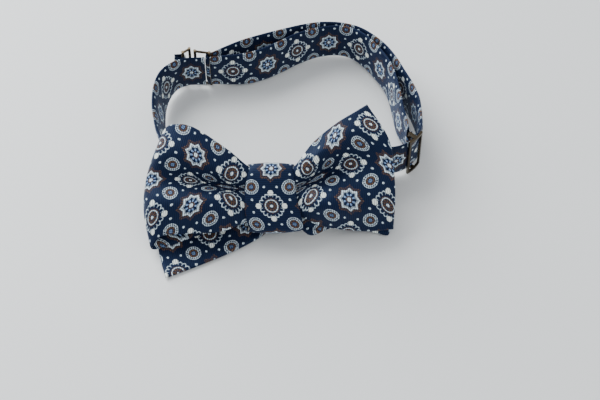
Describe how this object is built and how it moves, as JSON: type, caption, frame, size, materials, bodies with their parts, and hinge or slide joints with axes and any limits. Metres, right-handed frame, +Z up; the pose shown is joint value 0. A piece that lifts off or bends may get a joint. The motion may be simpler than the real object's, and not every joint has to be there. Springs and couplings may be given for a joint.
{
  "type": "bow tie",
  "caption": "Tied butterfly bow tie in printed silk on an adjustable neckband with a sliding buckle and a hook-and-ring fastening.",
  "frame": {"origin": "on the table under the middle of the whole tie's footprint", "axes": "+Z up, +Y from the bow towards the back of the neck, +X to the right as the bow is seen from the front"},
  "size_m": [0.1371, 0.1462, 0.0424],
  "materials": {
    "printed_silk": "navy twill silk with a small medallion print in white, light blue and brown",
    "interlining": "brushed cotton interlining",
    "bronze": "antique bronze plate, worn brighter on the edges",
    "thread": "navy sewing thread"
  },
  "bodies": {
    "tie": {"blade_face": "printed_silk", "blade_interlining": "interlining", "blade_back": "printed_silk", "loop_face": "printed_silk", "loop_interlining": "interlining", "loop_back": "printed_silk", "tail_face": "printed_silk", "tail_interlining": "interlining", "tail_back": "printed_silk", "rear_loop_face": "printed_silk", "rear_loop_interlining": "interlining", "rear_loop_back": "printed_silk", "knot_silk": "printed_silk", "knot_interlining": "interlining", "left_band_silk": "printed_silk", "left_band_interlining": "interlining", "strap_silk": "printed_silk", "strap_interlining": "interlining", "strap_return_silk": "printed_silk", "strap_return_interlining": "interlining", "keeper_tab": "printed_silk", "keeper_stitches": "thread"},
    "slider_buckle": {"slider": "bronze", "slider_tab": "printed_silk", "slider_stitches": "thread"},
    "ring_loop": {"ring": "bronze"},
    "hook_catch": {"hook": "bronze"}
  },
  "joints": [
    {"name": "slider_travel", "type": "hinge", "parent": "tie", "child": "slider_buckle", "pos_m": [0.0507, 0.0057, 0.0124], "axis": [0, 0, 1], "range_deg": [-14, 14]},
    {"name": "ring_swing", "type": "hinge", "parent": "tie", "child": "ring_loop", "pos_m": [-0.03919, 0.04949, 0.0124], "axis": [0, 0, -1], "range_deg": [0, 7]},
    {"name": "hook_swing", "type": "hinge", "parent": "tie", "child": "hook_catch", "pos_m": [-0.05282, 0.04978, 0.0124], "axis": [0, 0, 1], "range_deg": [0, 8.5]}
  ],
  "couplings": [
    {"joint": "hook_swing", "follows": "ring_swing", "ratio": 1.2}
  ]
}
